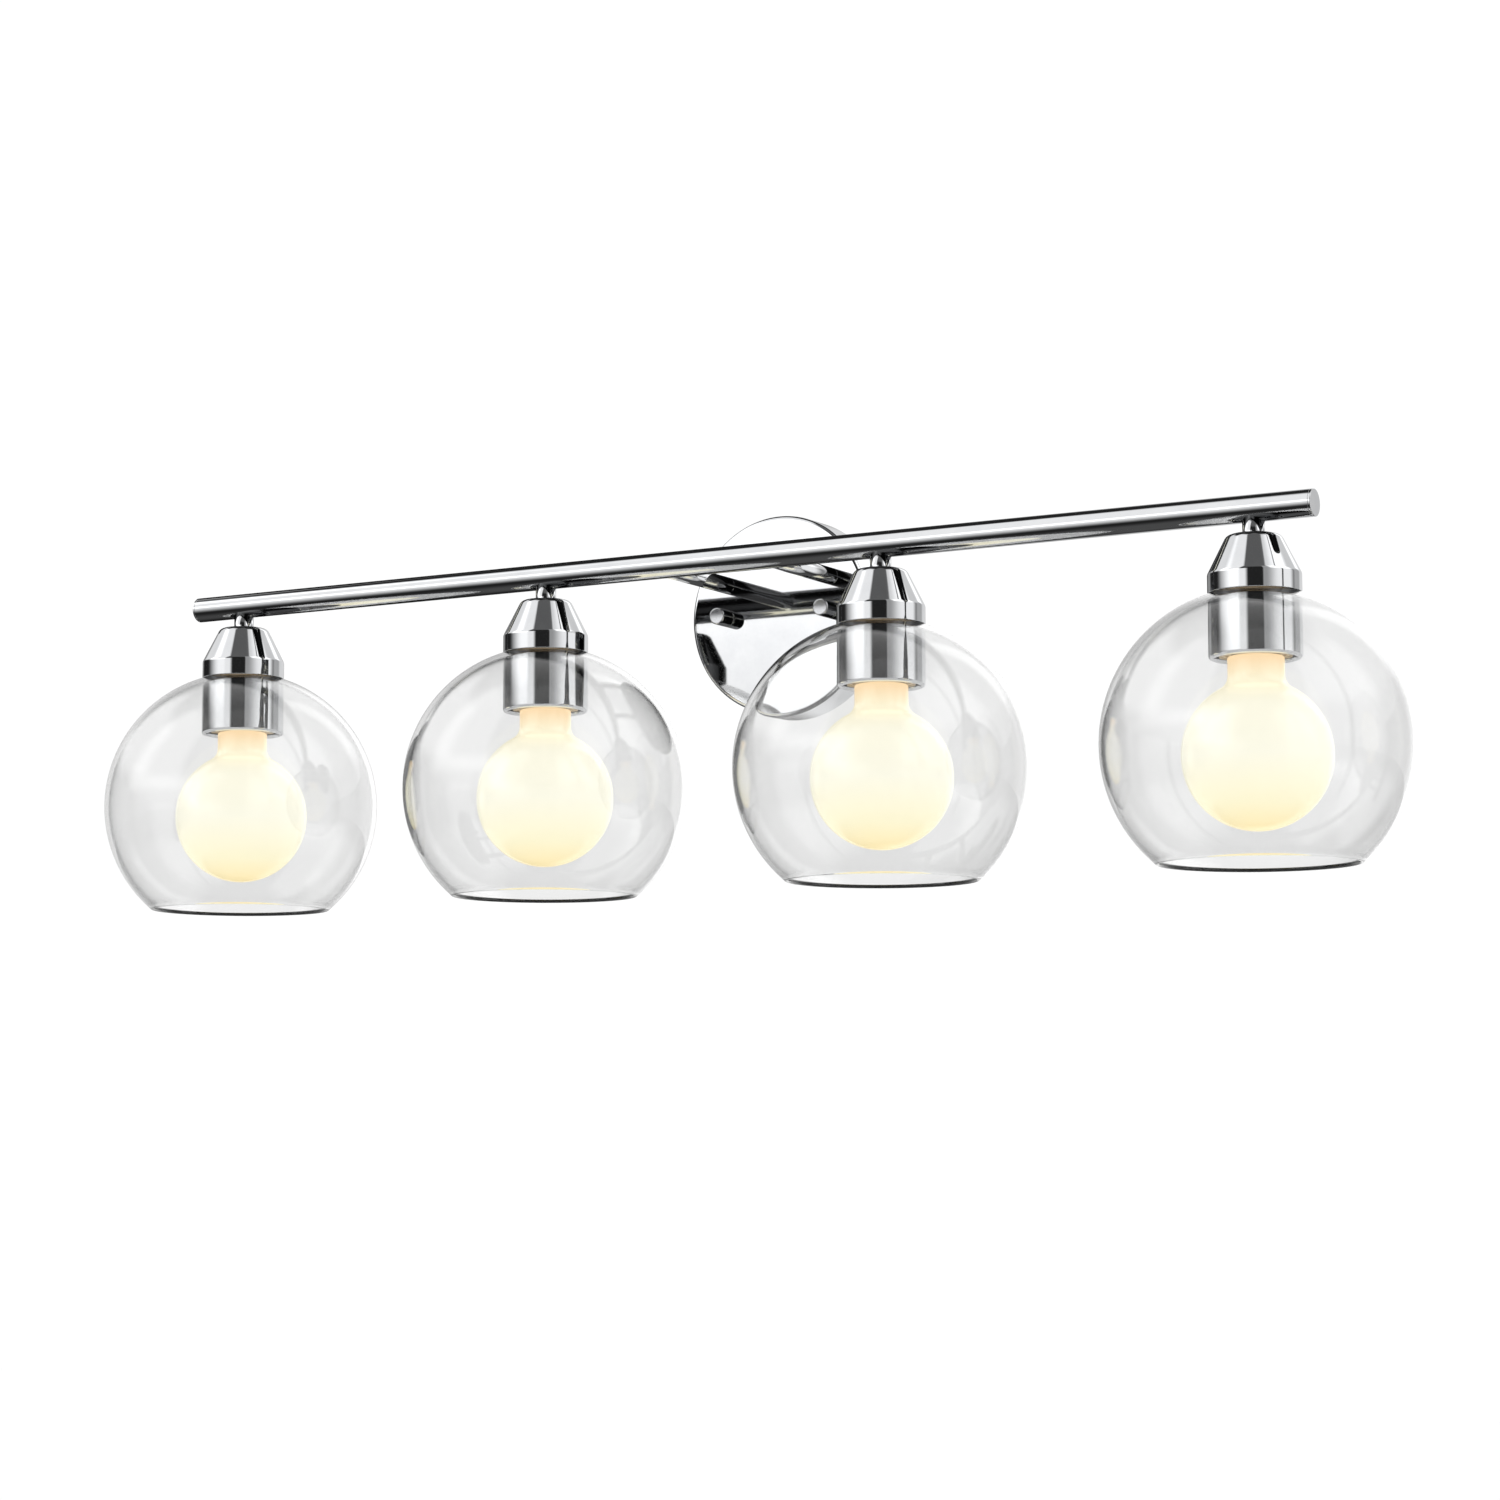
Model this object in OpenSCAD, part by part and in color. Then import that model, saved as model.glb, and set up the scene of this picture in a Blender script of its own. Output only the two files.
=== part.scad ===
// Four-light vanity bar: a chrome bar on two arms in front of a round wall canopy, with four
// clear glass globes hung under it, each clamped on a lampholder by a screwed shade ring.
// Millimetres, +Z up. The origin is the middle of the canopy's back, on the wall, and +Y
// points into the wall, so everything in front of the wall has a negative Y.

/* [Layout] */
// Distance between neighbouring lights
light_pitch = 222; // [185:1:260]
// Length of the bar past the outer lights, end plugs included
bar_overhang = 34.5; // [25:0.5:60]
// Distance from the wall to the bar's axis
bar_out = 104; // [92:1:130]
// Height of the bar's axis above the middle of the canopy
bar_up = 20; // [16:0.5:26]

/* [Bar] */
// Outside diameter of the bar
bar_d = 15; // [13:0.5:20]
// Wall of the bar's tube
bar_wall = 1.2; // [0.8:0.1:2]
// Thickness of an end plug's head
plug_head_h = 1.4; // [1:0.1:3]
// Length of an end plug's shank inside the tube
plug_shank_h = 6; // [4:0.5:10]

/* [Arms] */
// Distance between the two arms
arm_spacing = 70; // [60:0.5:78]
// Outside diameter of an arm
arm_d = 10; // [9:0.5:12]

/* [Canopy] */
// Diameter of the canopy
canopy_d = 118; // [112:1:150]
// Depth of the canopy
canopy_depth = 23; // [21:0.5:32]
// Sheet thickness of the canopy
canopy_wall = 1; // [0.8:0.1:1.6]
// Radius of the canopy's rounded front edge
canopy_edge_r = 2.5; // [1.5:0.1:4]

/* [Mounting strap] */
// Distance between the two mounting studs
stud_spacing = 69.85; // [60:0.05:76]
// Diameter of a stud's thread
stud_d = 4; // [3.5:0.1:5]
// Distance from the end of the strap to the canopy's edge
strap_end_gap = 7; // [4:0.5:10]
// Width of the strap
strap_w = 18; // [14:1:24]
// Thickness of the strap
strap_t = 2; // [1.5:0.1:3]
// Distance between the two slots for the outlet box screws
slot_spacing = 88.9; // [84:0.1:90]
// Width of a slot
slot_w = 4.6; // [4:0.1:5]
// End to end length of a slot
slot_l = 7; // [6:0.1:8]

/* [Knobs] */
// Diameter of a knob
knob_d = 10; // [8:0.5:14]
// Length of a knob
knob_l = 12; // [11:0.5:18]
// Radius of a knob's front edge
knob_edge_r = 0.8; // [0.3:0.1:2]
// Thickness of the washer under a knob
knob_washer_t = 0.6; // [0.4:0.1:1.2]

/* [Stems and cups] */
// Outside diameter of a stem
stem_d = 12; // [10.5:0.5:14]
// Visible length of a stem between the bar and its cup
stem_l = 6.6; // [4:0.1:20]
// Diameter of the cup at the virtual corner of its flat top
cup_top_d = 28.6; // [26:0.2:34]
// Diameter of the cup's skirt
cup_d = 49.8; // [48:0.2:56]
// Height of the cup's cone
cup_cone_h = 21.1; // [16:0.1:26]
// Height of the cup's skirt
cup_skirt_h = 10.2; // [8:0.1:14]
// Sheet thickness of the cup
cup_wall = 1.5; // [1:0.1:2]
// Radius between the cup's flat top and its cone
cup_top_r = 5; // [2:0.5:6]
// Radius between the cup's cone and its skirt
cup_shoulder_r = 4; // [1:0.5:6]

/* [Glass shade] */
// Outside diameter of the globe
globe_d = 166; // [150:1:190]
// Wall of the globe
globe_wall = 2.6; // [2:0.1:4]
// Diameter of the open mouth, on the outside
mouth_d = 108; // [92:1:124]
// Gap between the lampholder and the hole in the glass
globe_hole_gap = 1.1; // [0.8:0.1:2]

/* [Shade ring] */
// Thickness of the ring's threaded wall
ring_wall = 4.8; // [4.2:0.1:6]
// Length of the ring below the cup
ring_l = 34.8; // [30:0.1:38]
// Wall of the ring's lower rim
ring_rim_wall = 3.8; // [3:0.1:4.2]
// Thread pitch of the ring
ring_pitch = 3; // [2:0.5:4]

/* [Lampholder] */
// Outside diameter of the threaded body
holder_d = 39.2; // [38:0.1:46]
// Total length of the lampholder
holder_l = 51; // [48:0.5:54]
// Depth of the socket from its mouth to its floor
socket_depth = 24; // [22:0.5:26]
// Diameter of the lampholder's narrow top
holder_neck_d = 28; // [26:0.5:30]
// Gap between the bulb's neck and the socket's mouth
neck_gap = 1.2; // [0.6:0.1:2]

/* [Bulb] */
// Diameter of the bulb
bulb_d = 80; // [70:1:95]
// Total length of the bulb
bulb_l = 118; // [112:1:130]
// Diameter of the bulb's neck
bulb_neck_d = 30; // [28:0.5:31]
// Radius between the bulb's neck and its globe
bulb_fillet_r = 8; // [4:0.5:14]
// Wall of the bulb's glass
bulb_wall = 0.9; // [0.6:0.1:1.5]
// Outside diameter of the bulb cap's thread
cap_d = 26.05; // [26:0.01:26.15]
// Thread pitch of the bulb cap
cap_pitch = 3.63; // [3.5:0.01:3.7]
// Length of the bulb's cap
cap_l = 26; // [24:0.5:28]

/* [Fixings and wires] */
// Diameter of the hollow threaded nipples
nipple_d = 8; // [7.5:0.1:8.5]
// Wall of the nipples
nipple_wall = 1.1; // [0.8:0.1:1.4]
// Wall of a lock nut at its flats
nut_wall = 2.25; // [1.5:0.05:3]
// Thickness of a lock nut
nut_h = 3.5; // [2.5:0.1:4.5]
// Outside diameter of a wire
wire_d = 1.7; // [1.2:0.1:1.8]
// Gap between parts that move past each other
run_gap = 0.3; // [0.2:0.05:0.4]

/* [Hidden] */
LIGHTS = [1, 2, 3, 4];
PER_LIGHT = ["stem", "cup", "lampholder", "screw_shell", "centre_contact",
    "glass_shade", "shade_ring", "bulb_tip", "bulb_cap", "bulb_glass"];
$fn = 96;

cut = 1;                       // overshoot of every cutting tool
bar_r = bar_d / 2;
bar_in_r = bar_r - bar_wall;
bar_l = light_pitch * 3 + 2 * bar_overhang;
nipple_r = nipple_d / 2;
nipple_bore_r = nipple_r - nipple_wall;
thin_wall = 0.6;               // least wall of a pipe over a nipple
arm_r = max(arm_d / 2, nipple_r + thin_wall);
stem_r = max(stem_d / 2, nipple_r + thin_wall);
nut_af = nipple_d + 2 * nut_wall;
nut_corner_r = nut_af / 2 / cos(30);
wire_r = wire_d / 2;
lane = wire_r + 0.35;          // offset of a wire from the middle of its pipe
wire_bend = 2.2;               // how far a bend reaches from its corner
wire_bend_steps = 3;

// Socket of the bulb, from the cap outwards
cap_r = cap_d / 2;
shell_gap = 0.4;               // between the bulb's cap and the screw shell
shell_t = 0.5;
shell_in_r = cap_r + shell_gap;
shell_r = shell_in_r + shell_t;
shell_lip = 1.2;               // width of the shell's rolled lip
shell_lip_h = 0.6;
bulb_neck_r = bulb_neck_d / 2;
holder_mouth_r = max(bulb_neck_r, shell_r + shell_lip) + neck_gap;
holder_thread_depth = 0.7;
holder_mouth_wall = 2;         // least wall round the socket's mouth
holder_r = max(holder_d / 2, holder_mouth_r + holder_mouth_wall + holder_thread_depth);
holder_neck_r = holder_neck_d / 2;
globe_hole_r = holder_r + globe_hole_gap;
cup_r = max(cup_d / 2, globe_hole_r + cup_wall + 1);

// Heights below, with 0 at the bar's axis
cup_top = -bar_r - stem_l;
cup_shoulder = cup_top - cup_cone_h;
cup_bottom = cup_shoulder - cup_skirt_h;
cup_inside_top = cup_top - cup_wall;
cone_slope = (cup_r - cup_top_d / 2) / cup_cone_h;
cone_inset = cup_wall * sqrt(1 + cone_slope * cone_slope);

globe_r = globe_d / 2;
globe_in_r = globe_r - globe_wall;
globe_z = cup_bottom - run_gap - sqrt(globe_r * globe_r - cup_r * cup_r);

nut_to_holder = 4.9;           // room under the cup's nut for the lampholder's locking screw
holder_top = cup_inside_top - nut_h - nut_to_holder;
holder_bottom = holder_top - holder_l;
socket_floor = holder_bottom + socket_depth;
holder_roof_t = 5;
holder_floor_t = 7;
chamber_top = holder_top - holder_roof_t;
chamber_floor = socket_floor + holder_floor_t;
chamber_shoulder = chamber_floor + 6;
chamber_r = holder_neck_r - 3.5;
chamber_low_r = shell_r + 1.1;
neck_taper_l = 4;              // from the neck's foot to the top of the threaded body
thread_relief = 3;             // plain length above the lampholder's thread
shell_bottom = holder_bottom + 3;
rivet_r = 1.5;
rivet_head_r = 2.6;
rivet_top = chamber_floor + 1.2;
tab_w = 4;                     // tongue of the screw shell that carries the neutral wire
tab_t = 0.8;
tab_y = shell_r - 1.2;
tab_up = 2;                    // how far the tab stands up in the wiring chamber
tab_gap = 0.5;

ring_bore_r = holder_r + 0.4;
ring_r = ring_bore_r + ring_wall;
ring_rim_r = ring_r - ring_rim_wall;
ring_bottom = cup_bottom - ring_l;
ring_thread_l = 20;            // length of the ring's threaded bore, from its top

contact_drop = 1.7;            // from the socket's floor to the tip of the centre contact
contact_t = 0.5;
contact_w = 6;
bulb_top = socket_floor - contact_drop - run_gap;
tip_r = 4.75;
tip_h = 1.2;
insulator_r = 9;
insulator_h = 3;
cap_top = bulb_top - tip_h - insulator_h;
cap_bottom = bulb_top - cap_l;
cap_wall = 0.6;
cap_thread_depth = 0.75;
cap_seat_r = cap_r - cap_thread_depth - cap_wall;
stub_l = 6;                    // length of the glass inside the cap
bulb_r = bulb_d / 2;
neck_least = 3;                // least length of the bulb's neck below its cap
fillet_reach = bulb_neck_r + bulb_fillet_r;
fillet_up = sqrt((bulb_r + bulb_fillet_r) * (bulb_r + bulb_fillet_r) - fillet_reach * fillet_reach);
bulb_z = min(bulb_top - bulb_l + bulb_r, cap_bottom - neck_least - fillet_up);

// Places in the canopy, measured from the wall
canopy_r = canopy_d / 2;
stud_r = stud_d / 2;
stud_nut_af = stud_d * 1.9;
stud_nut_h = 3;
strap_l = canopy_d - 2 * strap_end_gap;
slot_x = min(slot_spacing / 2, (strap_l - slot_l) / 2 - 1.5);
stud_x = min(stud_spacing / 2, slot_x - slot_l / 2 - stud_nut_af / 2 / cos(30) - 0.5);
arm_x = min(arm_spacing / 2, sqrt(pow(canopy_r - canopy_wall - nut_corner_r - 1, 2) - bar_up * bar_up));
face_in = canopy_depth - canopy_wall;
nipple_inner_end = face_in - nut_h - 2;
nipple_in_arm = 12;
stud_hole_gap = 0.4;
knob_r = knob_d / 2;
knob_base = canopy_depth + knob_washer_t;
knob_bore_gap = 0.08;
knob_bore_l = knob_l - 1.8;
stud_end = knob_base + knob_bore_l - 0.8;
wire_nut_x = 12;
wire_nut_l = 22;
wire_nut_r = 6.5;
wire_nut_taper = 2;
wire_nut_mouth_l = 6;          // depth of the wire nut's open mouth
wire_nut_top = -24;
hot_plane = nipple_inner_end - 2.5;                  // bends of the hot wires, from the wall
neutral_plane = max(hot_plane - 5, wire_nut_r + 1);  // bends of the neutral wires
ground_screw_x = -20;
ground_head_r = stud_d * 0.95;
ground_head_h = 2.6;

function light_x(n) = (n - 2.5) * light_pitch;
function unit(v) = v / norm(v);

// Corner p turned into an arc of radius r that runs from the side of a to the side of b
function arc_corner(a, p, b, r, n) =
    let (u = unit(a - p), v = unit(b - p), half = acos(u * v) / 2)
    let (c = p + unit(u + v) * r / sin(half), s = p + u * r / tan(half) - c)
    let (turn = (180 - 2 * half) * sign(u[0] * v[1] - u[1] * v[0]) * -1)
    [for (k = [0:n]) let (t = turn * k / n)
        c + [s[0] * cos(t) - s[1] * sin(t), s[0] * sin(t) + s[1] * cos(t)]];

// A cylinder along Y at x, z, between two distances from the wall
module along_y(x, z, near_wall, far, r) {
    translate([x, -near_wall, z])
        rotate([90, 0, 0])
            cylinder(r = r, h = far - near_wall);
}

module at_light(n) {
    translate([light_x(n), -bar_out, bar_up])
        children();
}

// A cylinder on the light's own axis, between two heights
module drop(top, bottom, r) {
    translate([0, 0, bottom])
        cylinder(r = r, h = top - bottom);
}

module bar_solid(r) {
    translate([0, -bar_out, bar_up])
        rotate([0, 90, 0])
            cylinder(r = r, h = bar_l, center = true);
}

module bar() {
    tube_l = bar_l - 2 * plug_head_h;
    color("silver")
        difference() {
            intersection() {
                bar_solid(bar_r);
                translate([0, -bar_out, bar_up])
                    cube([tube_l, 2 * bar_d, 2 * bar_d], center = true);
            }
            bar_solid(bar_in_r);
            for (n = LIGHTS)
                at_light(n)
                    drop(0, -bar_d, nipple_r);
            for (side = [-1, 1])
                along_y(side * arm_x, bar_up, bar_out - bar_d, bar_out, nipple_bore_r);
        }
}

module bar_end_plugs() {
    color("silver")
        for (side = [-1, 1])
            translate([side * bar_l / 2, -bar_out, bar_up])
                rotate([0, -side * 90, 0]) {
                    cylinder(r = bar_r, h = plug_head_h);
                    translate([0, 0, plug_head_h])
                        cylinder(r = bar_in_r, h = plug_shank_h);
                }
}

module arm(side) {
    color("silver")
        difference() {
            along_y(side * arm_x, bar_up, canopy_depth, bar_out, arm_r);
            along_y(side * arm_x, bar_up, canopy_depth - cut, bar_out + cut, nipple_r);
            bar_solid(bar_r);
        }
}

module arm_nipples() {
    color("goldenrod")
        for (side = [-1, 1])
            difference() {
                along_y(side * arm_x, bar_up, nipple_inner_end, canopy_depth + nipple_in_arm,
                    nipple_r);
                along_y(side * arm_x, bar_up, nipple_inner_end - cut,
                    canopy_depth + nipple_in_arm + cut, nipple_bore_r);
            }
}

module stem(n) {
    color("silver")
        difference() {
            at_light(n)
                drop(0, cup_top, stem_r);
            at_light(n)
                drop(cut, cup_top - cut, nipple_r);
            bar_solid(bar_r);
        }
}

// The nipples run from the bar's bore through stem and cup into the lampholder's top
module stem_nipples() {
    top = -sqrt(bar_in_r * bar_in_r - nipple_r * nipple_r);
    color("goldenrod")
        for (n = LIGHTS)
            at_light(n)
                difference() {
                    drop(top, chamber_top, nipple_r);
                    drop(top + cut, chamber_top - cut, nipple_bore_r);
                }
}

module hex_ring(af, bore_r, h) {
    difference() {
        cylinder(r = af / 2 / cos(30), h = h, $fn = 6);
        translate([0, 0, -cut])
            cylinder(r = bore_r, h = h + 2 * cut);
    }
}

module lock_nuts() {
    color("lightgray") {
        for (n = LIGHTS)
            at_light(n)
                translate([0, 0, cup_inside_top - nut_h])
                    hex_ring(nut_af, nipple_r, nut_h);
        for (side = [-1, 1])
            translate([side * arm_x, -face_in, bar_up])
                rotate([-90, 0, 0])
                    hex_ring(nut_af, nipple_r, nut_h);
    }
}

function cup_outline() =
    let (top_corner = [cup_top_d / 2, cup_top], shoulder = [cup_r, cup_shoulder])
    concat([[0, cup_top]],
        arc_corner([0, cup_top], top_corner, shoulder, cup_top_r, 6),
        arc_corner(top_corner, shoulder, [cup_r, cup_bottom], cup_shoulder_r, 5),
        [[cup_r, cup_bottom - globe_wall], [0, cup_bottom - globe_wall]]);

function cup_hollow() =
    let (r_in = cup_r - cup_wall)
    let (top_corner = [cup_top_d / 2 + cone_slope * cup_wall - cone_inset, cup_inside_top])
    let (shoulder = [r_in, cup_top - (r_in + cone_inset - cup_top_d / 2) / cone_slope])
    concat([[0, cup_inside_top]],
        arc_corner([0, cup_inside_top], top_corner, shoulder, cup_top_r - cup_wall / 2, 6),
        [shoulder, [r_in, cup_bottom - globe_wall - cut], [0, cup_bottom - globe_wall - cut]]);

module cup(n) {
    color("silver")
        at_light(n)
            difference() {
                rotate_extrude()
                    difference() {
                        polygon(cup_outline());
                        polygon(cup_hollow());
                        translate([0, globe_z])
                            circle(r = globe_r + run_gap);
                    }
                drop(0, cup_inside_top - cut, nipple_r);
            }
}

// Half of a 2D shape, on the positive side of the axis
module right_half(far) {
    intersection() {
        children();
        translate([0, -2 * far])
            square([far, 4 * far]);
    }
}

module glass_shade(n) {
    mid_r = globe_r - globe_wall / 2;
    rim_x = mid_r * mouth_d / globe_d;
    rim_z = globe_z - sqrt(mid_r * mid_r - rim_x * rim_x);
    color("lightcyan", 0.35)
        at_light(n)
            rotate_extrude() {
                difference() {
                    translate([0, globe_z])
                        right_half(2 * globe_r)
                            circle(r = globe_r, $fn = 200);
                    translate([0, globe_z])
                        circle(r = globe_in_r, $fn = 200);
                    translate([-cut, globe_z])
                        square([globe_hole_r + cut, globe_r + cut]);
                    translate([-cut, rim_z - globe_r])
                        square([globe_r + cut, globe_r]);
                }
                translate([rim_x, rim_z])
                    circle(r = globe_wall * 0.58, $fn = 32);
            }
}

// The ring's top edge follows the inside of the globe that it presses on
module shade_ring(n) {
    rim_curl = ring_rim_wall / 2;
    color("silver")
        at_light(n)
            rotate_extrude() {
                intersection() {
                    difference() {
                        translate([ring_bore_r, ring_bottom + rim_curl])
                            square([ring_r - ring_bore_r, ring_l + globe_wall]);
                        translate([0, ring_bottom])
                            square([ring_rim_r, cup_bottom - ring_thread_l - ring_bottom]);
                    }
                    translate([0, globe_z])
                        circle(r = globe_in_r - run_gap, $fn = 200);
                }
                translate([ring_r - rim_curl, ring_bottom + rim_curl])
                    circle(r = rim_curl, $fn = 32);
            }
}

// Turns of a thread as stacked ridges, from the top down
function ridges(top, turns, pitch, r, depth) =
    [for (k = [0:turns - 1]) for (q = [[0.1, depth], [0.35, 0], [0.65, 0], [0.9, depth]])
        [r - q[1], top - (k + q[0]) * pitch]];

module lampholder(n) {
    root_r = holder_r - holder_thread_depth;
    thread_top = chamber_shoulder - 2;
    turns = floor((thread_top - holder_bottom - 2) / ring_pitch);
    outline = concat(
        [[0, holder_top], [holder_neck_r, holder_top],
         [holder_neck_r, thread_top + thread_relief + neck_taper_l],
         [root_r, thread_top + thread_relief]],
        ridges(thread_top, turns, ring_pitch, holder_r, holder_thread_depth),
        [[root_r, holder_bottom], [0, holder_bottom]]);
    color("linen")
        at_light(n)
            difference() {
                rotate_extrude()
                    polygon(outline);
                drop(holder_top + cut, chamber_top - cut, nipple_r);
                drop(chamber_top, chamber_floor, chamber_r);
                drop(chamber_shoulder, chamber_floor, chamber_low_r);
                drop(socket_floor, holder_bottom - cut, shell_r);
                drop(shell_bottom, holder_bottom - cut, holder_mouth_r);
                drop(chamber_floor + cut, socket_floor - cut, rivet_r);
                translate([-tab_w / 2 - tab_gap, tab_y - tab_gap, socket_floor - cut])
                    cube([tab_w + 2 * tab_gap, tab_t + 2 * tab_gap, holder_floor_t + 2 * cut]);
            }
}

// Tube with a rolled lip, and the tab that carries the neutral wire
module screw_shell(n) {
    color("gold")
        at_light(n) {
            difference() {
                drop(socket_floor, shell_bottom, shell_r);
                drop(socket_floor + cut, shell_bottom - cut, shell_in_r);
            }
            difference() {
                drop(shell_bottom, shell_bottom - shell_lip_h, shell_r + shell_lip);
                drop(shell_bottom + cut, shell_bottom - shell_lip_h - cut, shell_in_r);
            }
            translate([-tab_w / 2, tab_y, socket_floor - 1])
                cube([tab_w, tab_t, holder_floor_t + 1 + tab_up]);
        }
}

// Bent tongue under the socket's floor, with the rivet that holds it
module centre_contact(n) {
    tip_z = -contact_drop;
    strip = [[-5.5, 0], [3, 0], [6.2, tip_z + contact_t], [6.2, tip_z], [-1, tip_z],
        [-1, tip_z + contact_t], [5.2, tip_z + contact_t], [2.8, -contact_t], [-5.5, -contact_t]];
    color("gold")
        at_light(n) {
            translate([0, contact_w / 2, socket_floor])
                rotate([90, 0, 0])
                    linear_extrude(contact_w)
                        polygon(strip);
            drop(chamber_floor + 1, socket_floor - contact_t / 2, rivet_r);
            drop(rivet_top, chamber_floor, rivet_head_r);
        }
}

// Contact button on its insulator
module bulb_tip(n) {
    color("dimgray")
        at_light(n)
            rotate_extrude()
                polygon([[0, bulb_top], [tip_r - 1, bulb_top], [tip_r, bulb_top - tip_h * 0.6],
                    [tip_r, bulb_top - tip_h], [tip_r + 1.5, bulb_top - tip_h],
                    [insulator_r, cap_top], [0, cap_top]]);
}

module bulb_cap(n) {
    root_r = cap_r - cap_thread_depth;
    thread_top = cap_top - 1.2;
    turns = floor((thread_top - cap_bottom - 2) / cap_pitch);
    outline = concat(
        [[0, cap_top], [insulator_r, cap_top], [root_r, thread_top]],
        ridges(thread_top, turns, cap_pitch, cap_r, cap_thread_depth),
        [[root_r, thread_top - turns * cap_pitch], [cap_r, cap_bottom + 1],
         [cap_r, cap_bottom], [0, cap_bottom]]);
    color("silver")
        at_light(n)
            difference() {
                rotate_extrude()
                    polygon(outline);
                drop(cap_top - 2, cap_bottom - cut, cap_seat_r);
            }
}

// The bulb's envelope: a globe and a neck, with a hollow rounding between them
module envelope_outline(shrink) {
    globe = bulb_r - shrink;
    neck = bulb_neck_r - shrink;
    fillet = bulb_fillet_r + shrink;
    fillet_z = bulb_z + fillet_up;
    touch = bulb_r / (bulb_r + bulb_fillet_r);
    translate([0, bulb_z])
        right_half(2 * bulb_r)
            circle(r = globe, $fn = 160);
    translate([0, bulb_z])
        square([neck, cap_bottom - bulb_z]);
    difference() {
        polygon([[neck - cut, fillet_z], [fillet_reach, fillet_z],
            [fillet_reach * touch, bulb_z + (fillet_z - bulb_z) * touch - shrink],
            [neck - cut, bulb_z + globe / 2]]);
        translate([fillet_reach, fillet_z])
            circle(r = fillet, $fn = 96);
    }
}

module bulb_glass(n) {
    color("ivory")
        at_light(n) {
            rotate_extrude()
                difference() {
                    envelope_outline(0);
                    envelope_outline(bulb_wall);
                }
            difference() {
                drop(cap_bottom + stub_l, cap_bottom, cap_seat_r);
                drop(cap_bottom + stub_l + cut, cap_bottom - cut, cap_seat_r - bulb_wall);
            }
            difference() {
                drop(cap_bottom, cap_bottom - bulb_wall, bulb_neck_r - bulb_wall / 2);
                drop(cap_bottom + cut, cap_bottom - bulb_wall - cut, cap_seat_r - bulb_wall);
            }
        }
}

// The canopy is a pressed dish, open to the wall
module canopy() {
    r = canopy_r;
    h = canopy_depth;
    w = canopy_wall;
    outside = concat([[0, h]], arc_corner([0, h], [r, h], [r, 0], canopy_edge_r, 8),
        [[r, 0], [0, 0]]);
    inside = concat([[0, h - w]],
        arc_corner([0, h - w], [r - w, h - w], [r - w, 0], canopy_edge_r - w, 8),
        [[r - w, -cut], [0, -cut]]);
    color("silver")
        difference() {
            rotate([90, 0, 0])
                rotate_extrude($fn = 180)
                    difference() {
                        polygon(outside);
                        polygon(inside);
                    }
            for (side = [-1, 1]) {
                along_y(side * arm_x, bar_up, face_in - cut, h + cut, nipple_r);
                along_y(side * stud_x, 0, face_in - cut, h + cut, stud_r + stud_hole_gap);
            }
        }
}

module mounting_strap() {
    slot_r = slot_w / 2;
    flat = slot_l - slot_w;
    color("lightgray")
        difference() {
            translate([-strap_l / 2, -strap_t, -strap_w / 2])
                cube([strap_l, strap_t, strap_w]);
            along_y(ground_screw_x, 0, -cut, strap_t + cut, stud_r);
            for (side = [-1, 1]) {
                along_y(side * stud_x, 0, -cut, strap_t + cut, stud_r);
                for (end = [-1, 1])
                    along_y(side * slot_x + end * flat / 2, 0, -cut, strap_t + cut, slot_r);
                translate([side * slot_x - flat / 2, -strap_t - cut, -slot_r])
                    cube([flat, strap_t + 2 * cut, slot_w]);
            }
        }
}

module mounting_studs() {
    color("lightgray")
        for (side = [-1, 1])
            along_y(side * stud_x, 0, 0, stud_end, stud_r);
}

module stud_nuts() {
    color("lightgray")
        for (side = [-1, 1])
            translate([side * stud_x, -strap_t, 0])
                rotate([90, 0, 0])
                    hex_ring(stud_nut_af, stud_r, stud_nut_h);
}

module ground_screw() {
    front = strap_t + ground_head_h;
    color("seagreen")
        difference() {
            union() {
                along_y(ground_screw_x, 0, 0, strap_t, stud_r);
                along_y(ground_screw_x, 0, strap_t, front, ground_head_r);
            }
            translate([ground_screw_x - ground_head_r - cut, -front - cut, -0.5])
                cube([2 * (ground_head_r + cut), 1 + cut, 1]);
        }
}

module knob(side) {
    outline = concat([[0, knob_l]],
        arc_corner([0, knob_l], [knob_r, knob_l], [knob_r, 0], knob_edge_r, 5),
        [[knob_r, 0], [0, 0]]);
    color("silver")
        difference() {
            translate([side * stud_x, -knob_base, 0])
                rotate([90, 0, 0])
                    rotate_extrude()
                        polygon(outline);
            along_y(side * stud_x, 0, knob_base - cut, knob_base + knob_bore_l,
                stud_r + knob_bore_gap);
        }
}

module knob_washer(side) {
    color("whitesmoke")
        difference() {
            along_y(side * stud_x, 0, canopy_depth, knob_base, knob_r - 0.4);
            along_y(side * stud_x, 0, canopy_depth - cut, knob_base + cut, stud_r + run_gap);
        }
}

// Points of a smooth bend at p, between a and b
function bend(a, p, b, reach, n) =
    let (s = p + unit(a - p) * reach, e = p + unit(b - p) * reach)
    [for (k = [0:n]) let (t = k / n) (1 - t) * (1 - t) * s + 2 * t * (1 - t) * p + t * t * e];

function route(p, reach, n) = [p[0],
    for (i = [1:len(p) - 2]) each bend(p[i - 1], p[i], p[i + 1], reach, n), p[len(p) - 1]];

function heading(path, i) =
    unit(path[min(i + 1, len(path) - 1)] - path[max(i - 1, 0)]);

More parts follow.
